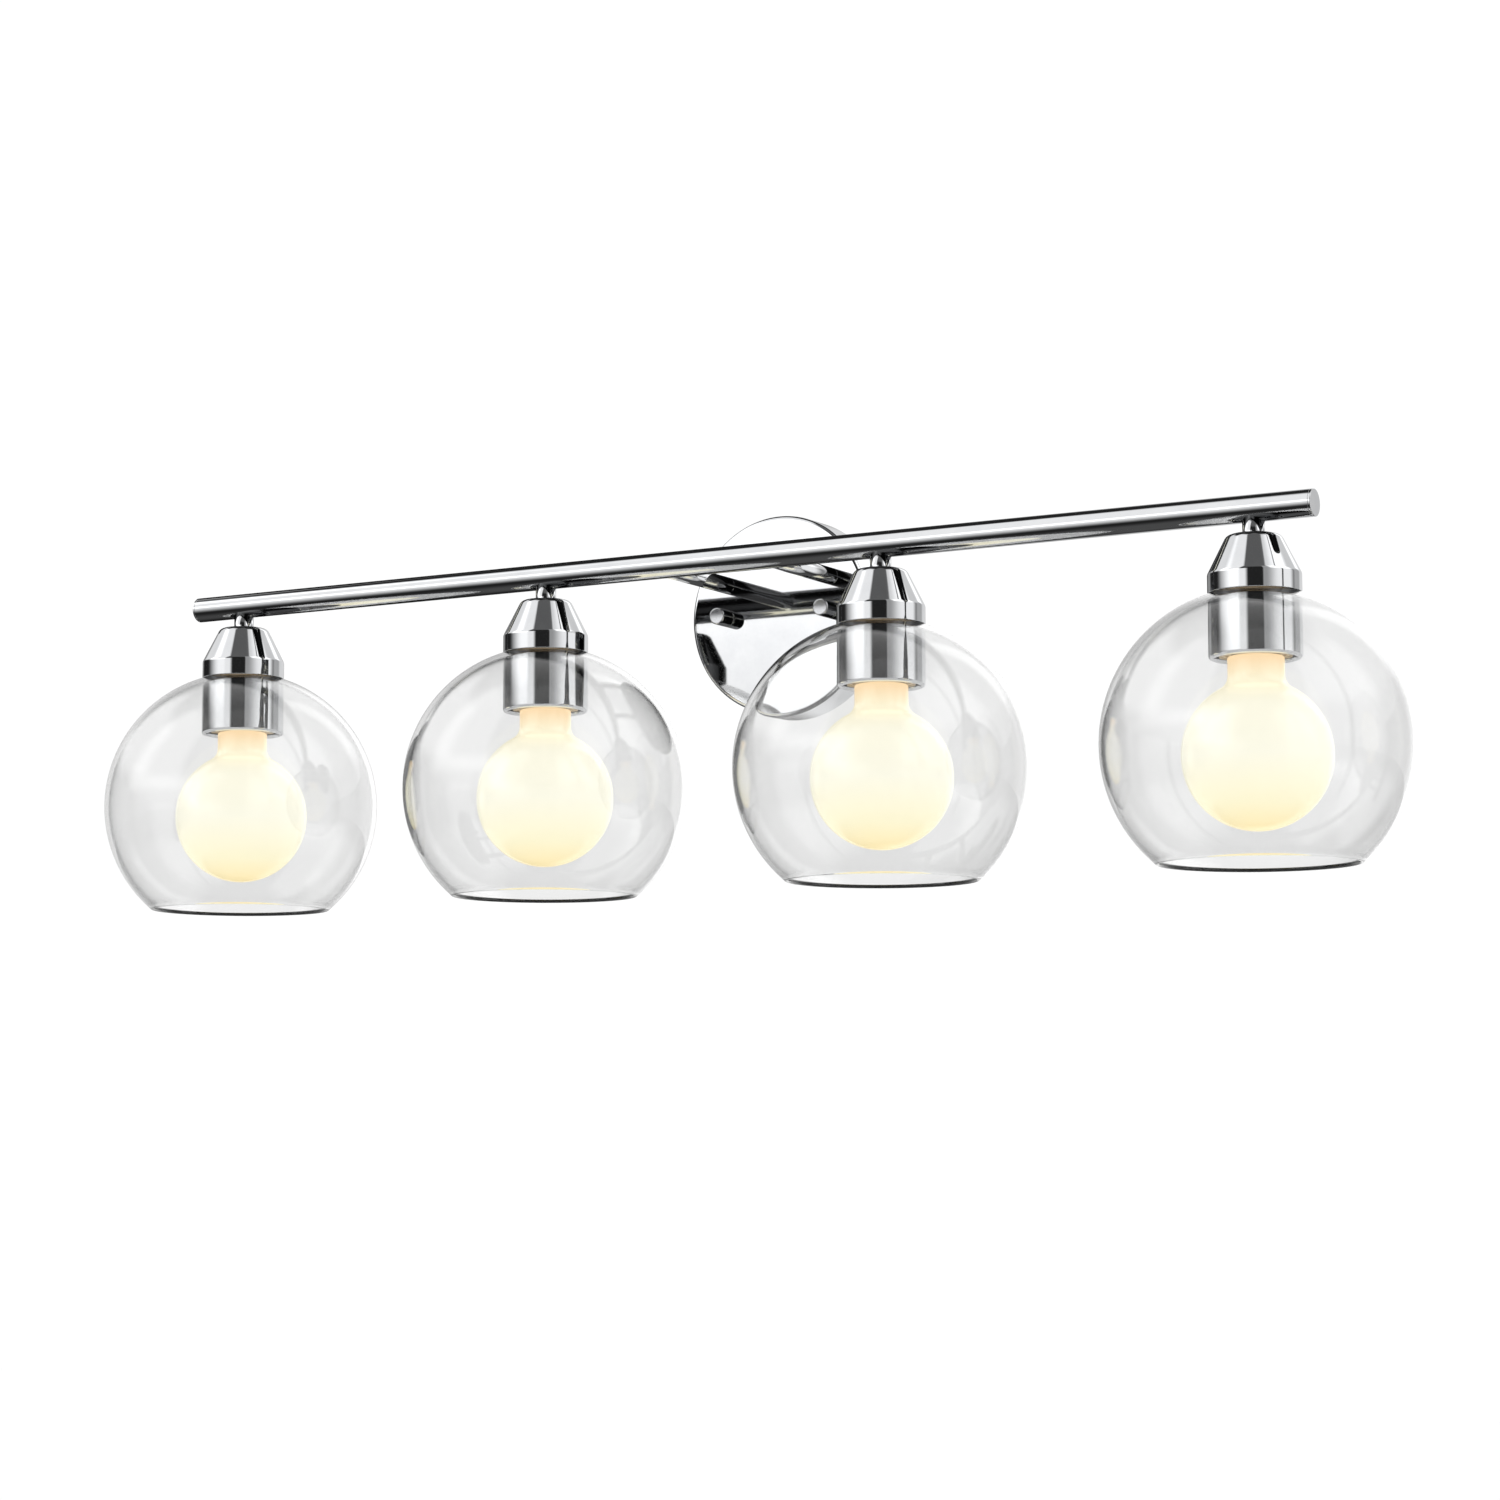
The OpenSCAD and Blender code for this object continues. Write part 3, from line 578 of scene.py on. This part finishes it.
def stem_mesh():
    line = rounded([(STEM_R, CUP_TOP, 0.3 * MM), (STEM_R, 0), (NIPPLE_R, 0), (NIPPLE_R, CUP_TOP)])
    mesh = lathe("stem_tube", line, 96)
    saddle(mesh, 0)
    return mesh


def cup_mesh():
    shoulder, bottom = CUP_TOP - CUP_CONE, CUP_BOTTOM
    slope = (CUP_R - CUP_TOP_R) / CUP_CONE
    inset = CUP_WALL * math.sqrt(1 + slope ** 2)
    inner = CUP_R - CUP_WALL
    inner_shoulder = CUP_TOP - (inner + inset - CUP_TOP_R) / slope
    edge = 0.45 * MM
    line = rounded([
        (NIPPLE_R, CUP_TOP), (CUP_TOP_R, CUP_TOP, 4.6 * MM), (CUP_R, shoulder, 3.2 * MM),
        (CUP_R, bottom, edge), (inner, bottom, edge), (inner, inner_shoulder),
        (CUP_TOP_R + slope * CUP_WALL - inset, CUP_TOP - CUP_WALL, 4 * MM),
        (NIPPLE_R, CUP_TOP - CUP_WALL)], 64)
    return lathe("cup_shell", line, 144, angle=35)


def shade_mesh():
    """The globe's two faces, a fire-polished rim at the mouth and a ground edge at the hole."""
    mid = GLOBE_R - GLOBE_WALL / 2
    mouth = math.pi - math.asin(MOUTH_R / GLOBE_R)
    hole = math.asin(HOLE_R / GLOBE_R)
    swell, swell_reach = RIM_R - GLOBE_WALL / 2, 5 * MM
    ground_edge = 0.4 * MM
    rows = 84

    def face(side):
        points = []
        for k in range(rows + 1):
            t = hole + (mouth - hole) * k / rows
            near = max(0, 1 - (mouth - t) * mid / swell_reach)
            r = mid + side * (GLOBE_WALL / 2 + swell * near * near * (3 - 2 * near))
            if k == 0:
                r -= side * ground_edge
            points.append((r * math.sin(t), GLOBE_H + r * math.cos(t)))
        return points

    rim_at = Vector((mid * math.sin(mouth), GLOBE_H + mid * math.cos(mouth)))
    out = Vector((math.sin(mouth), math.cos(mouth)))
    past = Vector((math.cos(mouth), -math.sin(mouth)))
    rim = [rim_at + (out * math.cos(a) + past * math.sin(a)) * RIM_R
           for a in (math.pi * k / 12 for k in range(1, 12))]
    line = face(1) + [tuple(p) for p in rim] + face(-1)[::-1]
    return lathe("glass_globe", line, 160, angle=60)


def ring_mesh():
    """The ring: its top follows the globe's inside, its bore is threaded, its lip is full round."""
    bottom = below_bar("shade_ring_1")[1]
    seat_r = GLOBE_R - GLOBE_WALL - GLOBE_SEAT
    chamfer = 0.3 * MM
    seat = arc(GLOBE_H, seat_r, math.asin((RING_BORE + chamfer) / seat_r),
               math.asin((RING_R - chamfer) / seat_r), 4)
    bore_end = CUP_BOTTOM - 20 * MM
    groove = 0.5 * MM
    lip = RING_RIM / 2
    lip_h = bottom + lip
    curl = [(RING_R - lip + lip * math.cos(a), lip_h + lip * math.sin(a))
            for a in (-math.pi * k / 18 for k in range(19))]
    top = seat[0][1] - 0.4 * MM
    rim_r = RING_R - RING_RIM
    line = [*seat, (RING_R, seat[-1][1] - 0.35 * MM), (RING_R, lip_h + 0.2 * MM), *curl,
            (rim_r, bore_end - 0.8 * MM), (rim_r, bore_end),
            *threaded_line(RING_BORE, bore_end, top, RING_PITCH)[:-1], (RING_BORE, top)]
    wave = thread(RING_PITCH, groove, bore_end - 0.1 * MM, top)
    grooves = only_at(RING_BORE, lambda t, r, h: -wave(t, r, h))
    return lathe("ring_sleeve", line, 144, grooves, 35)


def bulb_mesh():
    top, bottom = below_bar("bulb_glass_1")
    neck_top = below_bar("bulb_cap_1")[1]
    fillet = 8 * MM
    centre = bottom + BULB_R
    reach = NECK_R + fillet
    fillet_h = centre + math.sqrt((BULB_R + fillet) ** 2 - reach ** 2)
    start = math.asin(reach / (BULB_R + fillet))
    hollow = [(reach - fillet * math.cos(a), fillet_h - fillet * math.sin(a))
              for a in ((math.pi / 2 - start) * k / 12 for k in range(13))]
    neck = rounded([(0, top), (CAP_BORE, top), (CAP_BORE, neck_top),
                    (NECK_R, neck_top, 1.2 * MM), (NECK_R, fillet_h)])
    line = neck[:-1] + hollow[:-1] + arc(centre, BULB_R, start, math.pi, 64)
    return lathe("bulb_envelope", line, 128)


def cap_mesh():
    """Screw cap: rolled thread, plain skirt and a shoulder to the insulator."""
    top, bottom = below_bar("bulb_cap_1")
    turns_top, turns_bottom = top - 1.2 * MM, bottom + 2.2 * MM
    shoulder, crest = 9 * MM, 0.85 * MM
    end_wall = 2 * MM
    line = [(0, top), (shoulder, top), (CAP_R - 0.9 * MM, turns_top),
            *threaded_line(CAP_R, turns_top - 0.4 * MM, turns_bottom, CAP_PITCH, 14),
            (CAP_R - 0.1 * MM, bottom + 1.2 * MM), (CAP_R, bottom + 0.2 * MM),
            (CAP_R - 0.15 * MM, bottom), (CAP_BORE, bottom), (CAP_BORE, top - end_wall),
            (0, top - end_wall)]
    wave = thread(CAP_PITCH, crest, turns_bottom - 0.4 * MM, turns_top + 0.2 * MM, 1, 1.2 * MM)
    return lathe("cap_shell", line, 112, only_at(CAP_R, wave), 40)


def tip_mesh():
    """Solder button on its glass insulator."""
    top, bottom = below_bar("bulb_tip_1")
    foot = top - 1.2 * MM
    line = rounded([(0, top), (4.2 * MM, top, 0.8 * MM), (4.75 * MM, foot, 0.1 * MM),
                    (6.2 * MM, foot - 0.1 * MM, 0.3 * MM), (9 * MM, bottom), (0, bottom)])
    return lathe("tip_button", line, 64)


def tip_material(top):
    """Grey solder down to the button's foot, and black glass below it."""
    m, nodes, links, shader = material("bulb_tip")
    edge, blur = top - 1.25 * MM, 0.02 * MM
    button = vary(nodes, links, own_height(nodes, links), 0, 1, edge - blur, edge + blur)
    links.new(button, shader.inputs["Metallic"])
    grain = noise(nodes, links, 700, 4, 0.6)
    shade = ramp(nodes, links, with_some(nodes, links, button, grain, 0.2), [
        (0.05, (0.01, 0.01, 0.012)), (0.22, (0.03, 0.03, 0.035)),
        (0.9, (0.42, 0.41, 0.38)), (1.0, (0.60, 0.59, 0.55))])
    links.new(shade, shader.inputs["Base Color"])
    links.new(vary(nodes, links, grain, 0.2, 0.4), shader.inputs["Roughness"])
    return m


def lights():
    lit = opal("lit_bulb", below_bar("bulb_cap_1")[1], below_bar("bulb_glass_1")[1])
    tip = tip_material(below_bar("bulb_tip_1")[0])
    parts = {
        "stem": (stem_mesh(), CHROME, "root", "chrome"),
        "cup": (cup_mesh(), CHROME, "root", "chrome"),
        "glass_shade": (shade_mesh(), GLASS, "shade_{}", "clear_glass"),
        "shade_ring": (ring_mesh(), CHROME, "ring_{}", "chrome"),
        "bulb_glass": (bulb_mesh(), lit, "bulb_{}", "lit_bulb"),
        "bulb_cap": (cap_mesh(), NICKEL, "bulb_{}", "nickel_cap"),
        "bulb_tip": (tip_mesh(), tip, "bulb_seat_{}", "contact")}
    for n in LIGHTS:
        for part, (mesh, mat, body, slot) in parts.items():
            place(f"{mesh.name}_{n}", mesh, light_point(n), mat, body.format(n),
                  f"{part}_{n}")
        finish_node(f"lampholder_{n}", PORCELAIN)
        finish_node(f"screw_shell_{n}", BRASS)
        finish_node(f"centre_contact_{n}", BRASS, bevel=0.1 * MM)


# ---------------------------------------------------------------- studio

FLOOR_DROP = 2.6
FLOOR_REACH = 30
WHITE = 1.04                # the plain surround
BASE_TONE = 0.02            # the mirrored room between its panels
GLASS_TONE = 0.76           # added to what glass alone mirrors
BEHIND_GLASS = 0.3          # added to chrome seen through a globe
SECOND_LOSS = 0.9           # taken from second reflections
ONE_MIRROR = 0.5            # more glossy bounces than this is a reflection
TWO_MIRRORS = 1.5           # and more than this a second one
WHOLE_GLOBE = 3.5           # more glass faces than this is a whole globe
CAMERA_AT = Vector((1034.8, -1869.5, -323.9)) * MM
CAMERA_YAW, CAMERA_PITCH, CAMERA_ROLL = 29.72, 6.55, -0.09
CAMERA_LENS = 86.78
CAMERA_SENSOR = 36
CAMERA_NEAR, CAMERA_FAR = 0.05, 100


def smooth_step(nodes, links, source, start, end):
    """0 at start and 1 at end, eased at both."""
    node = nodes.new("ShaderNodeMapRange")
    node.interpolation_type = "SMOOTHSTEP"
    node.inputs["From Min"].default_value = start
    node.inputs["From Max"].default_value = end
    links.new(source, node.inputs["Value"])
    return node.outputs["Result"]


def studio_world():
    """A plain white surround. What polished faces mirror is a dim room with soft panels in it:
    their places are azimuths from straight in front of the wall towards the right, and heights
    above the horizon, in degrees."""
    world = bpy.data.worlds.new("studio")
    bpy.context.scene.world = world
    world.use_nodes = True
    nodes, links = world.node_tree.nodes, world.node_tree.links
    nodes.clear()
    coord = nodes.new("ShaderNodeTexCoord")
    parts = nodes.new("ShaderNodeSeparateXYZ")
    links.new(coord.outputs["Generated"], parts.inputs["Vector"])

    def math_node(operation, *values):
        return calculate(nodes, links, operation, *values)

    front = math_node("MULTIPLY", parts.outputs["Y"], -1.0)
    azimuth = math_node("DEGREES", math_node("ARCTAN2", parts.outputs["X"], front))
    rise = math_node("DEGREES", math_node("ARCSINE", parts.outputs["Z"]))

    def panel(turn, turn_blur, height, height_blur, light):
        for source, limits, blurs in ((azimuth, turn, turn_blur), (rise, height, height_blur)):
            for limit, outside in zip(limits, (limits[0] - blurs[0], limits[1] + blurs[1])):
                edge = smooth_step(nodes, links, source, outside, limit)
                light = math_node("MULTIPLY", edge, light)
        return light

    panels = [
        panel((-34, -3), (42, 10), (12, 14), (40, 10), 1.15),      # softbox, front left
        panel((-64, -22), (18, 10), (14, 60), (8, 14), 1.15),      # its upper part, further left
        panel((-108, -64), (14, 18), (22, 44), (10, 10), 1.0),     # its far end
        panel((45, 116), (4, 20), (-22, 40), (20, 20), 0.38),      # reflector, right
        panel((86, 116), (38, 20), (-22, 50), (20, 15), 0.78),     # softbox that lights it
        panel((66, 174), (8, 6), (28, 58), (12, 14), 0.8),         # softbox over it
        panel((-10, 62), (10, 10), (48, 90), (14, 1), 0.12),       # dim ceiling in front
        panel((138, 158), (10, 8), (-10, 16), (12, 10), 0.5),      # room behind, right
        panel((-132, -118), (8, 10), (-10, 16), (12, 10), 0.32),   # room behind, left
        panel((166, 181), (10, 1), (-25, 50), (20, 20), 0.9),      # softbox behind
        panel((-181, -160), (1, 16), (-25, 50), (20, 20), 0.9),    # its other half
        panel((-181, 181), (1, 1), (-91, -60), (1, 26), 0.07),     # floor
    ]
    total = BASE_TONE
    for value in panels:
        total = math_node("ADD", value, total)
    flag = panel((93, 95), (2, 2), (-30, 90), (10, 1), 1.2)      # thin black flag, right
    total = math_node("MAXIMUM", math_node("SUBTRACT", total, flag), 0.0)

    # What glass alone mirrors is paler than what chrome mirrors, chrome seen through a globe is
    # lit a little more, as much as the glass takes away, and second reflections are dimmer.
    path = nodes.new("ShaderNodeLightPath")
    mirrored = math_node("GREATER_THAN", path.outputs["Glossy Depth"], ONE_MIRROR)
    twice = math_node("GREATER_THAN", path.outputs["Glossy Depth"], TWO_MIRRORS)
    through = math_node("GREATER_THAN", path.outputs["Transmission Depth"], WHOLE_GLOBE)
    by_glass = math_node("MULTIPLY", path.outputs["Is Singular Ray"],
                         math_node("SUBTRACT", 1.0, through))
    gain = math_node("MULTIPLY", math_node("MULTIPLY_ADD", through, BEHIND_GLASS, 1.0),
                     math_node("MULTIPLY_ADD", twice, -SECOND_LOSS, 1.0))
    total = math_node("MULTIPLY_ADD", by_glass, GLASS_TONE, math_node("MULTIPLY", total, gain))
    surround = nodes.new("ShaderNodeBackground")
    surround.inputs["Color"].default_value = (1, 1, 1, 1)
    surround.inputs["Strength"].default_value = WHITE
    room = nodes.new("ShaderNodeBackground")
    links.new(total, room.inputs["Strength"])
    mix = nodes.new("ShaderNodeMixShader")
    output = nodes.new("ShaderNodeOutputWorld")
    links.new(mirrored, mix.inputs["Fac"])
    links.new(surround.outputs["Background"], mix.inputs[1])
    links.new(room.outputs["Background"], mix.inputs[2])
    links.new(mix.outputs["Shader"], output.inputs["Surface"])


def floor():
    mesh = bpy.data.meshes.new("floor")
    bm = bmesh.new()
    bmesh.ops.create_grid(bm, x_segments=8, y_segments=8, size=FLOOR_REACH)
    bm.to_mesh(mesh)
    bm.free()
    obj = bpy.data.objects.new("floor", mesh)
    bpy.context.scene.collection.objects.link(obj)
    obj.location.z = -FLOOR_DROP
    m, nodes, links, shader = material("pale_floor")
    links.new(two_tone(nodes, links, noise(nodes, links, 3, 4, 0.5),
                       (0.975, 0.975, 0.975), (0.99, 0.99, 0.99)), shader.inputs["Base Color"])
    shader.inputs["Roughness"].default_value = 1
    shader.inputs["Specular IOR Level"].default_value = 0
    mesh.materials.append(m)
    obj.visible_glossy = False


def camera():
    """The photograph's viewpoint: well to the right of the fitting and a little below it."""
    data = bpy.data.cameras.new("camera")
    cam = bpy.data.objects.new("camera", data)
    bpy.context.scene.collection.objects.link(cam)
    data.sensor_width = CAMERA_SENSOR
    data.lens = CAMERA_LENS
    data.clip_start, data.clip_end = CAMERA_NEAR, CAMERA_FAR
    cam.matrix_world = (Matrix.Translation(CAMERA_AT)
                        @ Matrix.Rotation(math.radians(CAMERA_YAW), 4, "Z")
                        @ Matrix.Rotation(math.radians(90 + CAMERA_PITCH), 4, "X")
                        @ Matrix.Rotation(math.radians(CAMERA_ROLL), 4, "Z"))
    bpy.context.scene.camera = cam


def main():
    bar()
    half = across("bar", 0)
    bar_plug("bar_plug_right", BAR_AXIS.x + half, TO_RIGHT)
    bar_plug("bar_plug_left", BAR_AXIS.x - half, TO_RIGHT.inverted())
    canopy()
    for side in SIDES:
        arm(side)
        knob(side)
        knob_washer(side)
        stud(side)
    wire_nut("wire_nut_hot", -1, ORANGE_NUT)
    wire_nut("wire_nut_neutral", 1, YELLOW_NUT)
    lights()
    finish_node("mounting_strap", ZINC, bevel=0.3 * MM)
    finish_node("stud_nuts", ZINC, bevel=0.2 * MM)
    finish_node("lock_nuts", ZINC, bevel=0.2 * MM)
    finish_node("ground_screw", GREEN_SCREW, bevel=0.15 * MM)
    finish_node("arm_nipples", BRASS)
    finish_node("stem_nipples", BRASS)
    finish_node("hot_wires", BLACK_WIRE, round_off=2)
    finish_node("neutral_wires", WHITE_WIRE, round_off=2)
    finish_node("ground_wire", GREEN_WIRE, round_off=2)
    floor()
    studio_world()
    camera()
    bpy.context.scene.view_settings.view_transform = "Standard"


main()
